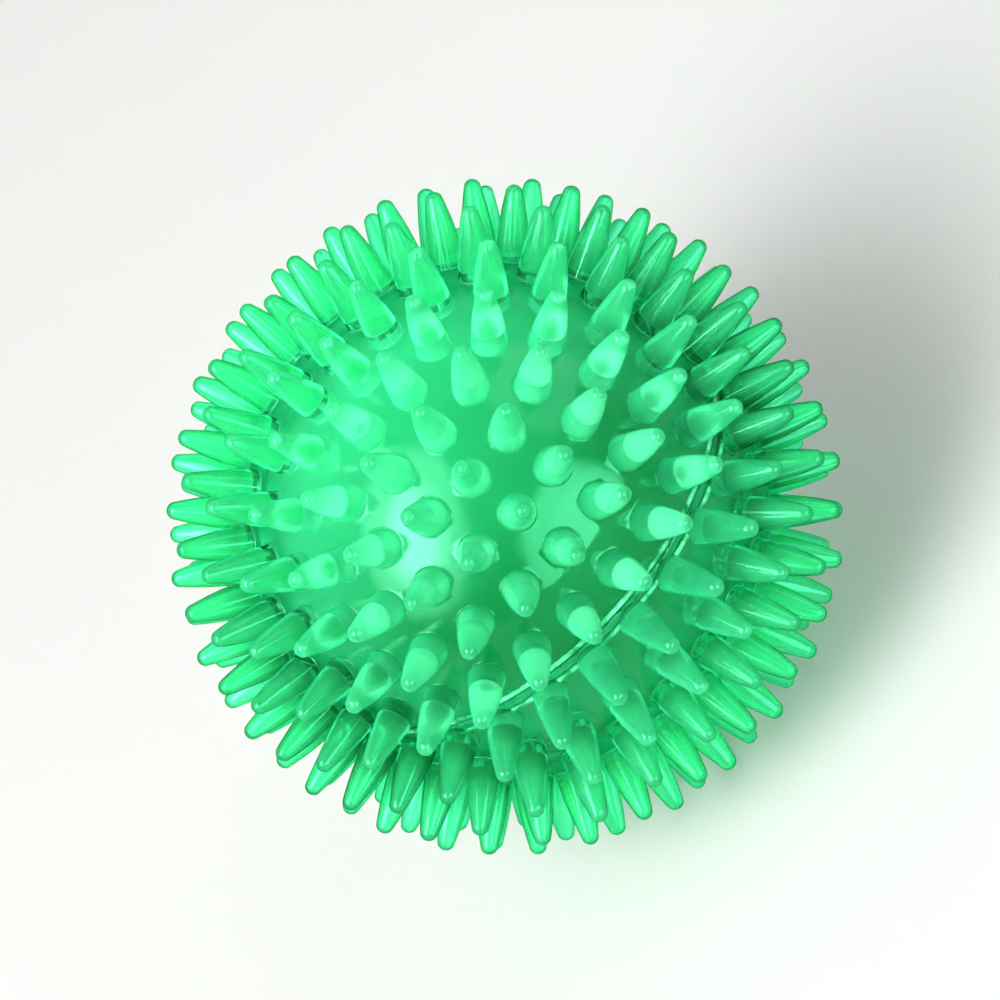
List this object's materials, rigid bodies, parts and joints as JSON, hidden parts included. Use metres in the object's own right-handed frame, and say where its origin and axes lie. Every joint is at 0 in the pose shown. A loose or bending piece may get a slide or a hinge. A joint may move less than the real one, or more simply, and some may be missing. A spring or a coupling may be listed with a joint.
{
  "type": "massage ball",
  "caption": "Soft hollow ball covered in blunt conical spikes for rolling massage, in two half shells welded along a raised seam, with a pull-out air plug at its lower pole.",
  "frame": {"origin": "the ball's centre, which is also its centre of mass", "axes": "+Z along the ball's pole, square to the seam plane and away from the valve; the seam lies in the XY plane; -Y is the front, where most rings of spikes start"},
  "size_m": [0.0744, 0.0748, 0.0735],
  "materials": {
    "shell_plastic": "gloss",
    "weld_plastic": "gloss",
    "valve_plastic": "satin",
    "plug_plastic": "satin"
  },
  "bodies": {
    "ball": {"upper_shell": "shell_plastic", "lower_shell": "shell_plastic", "weld_bead": "weld_plastic", "valve_socket": "valve_plastic"},
    "plug": {"valve_plug": "plug_plastic"}
  },
  "joints": [
    {"name": "plug_pull", "type": "slide", "parent": "ball", "child": "plug", "axis": [0, 0, -1], "range_m": [0, 0.02]}
  ]
}
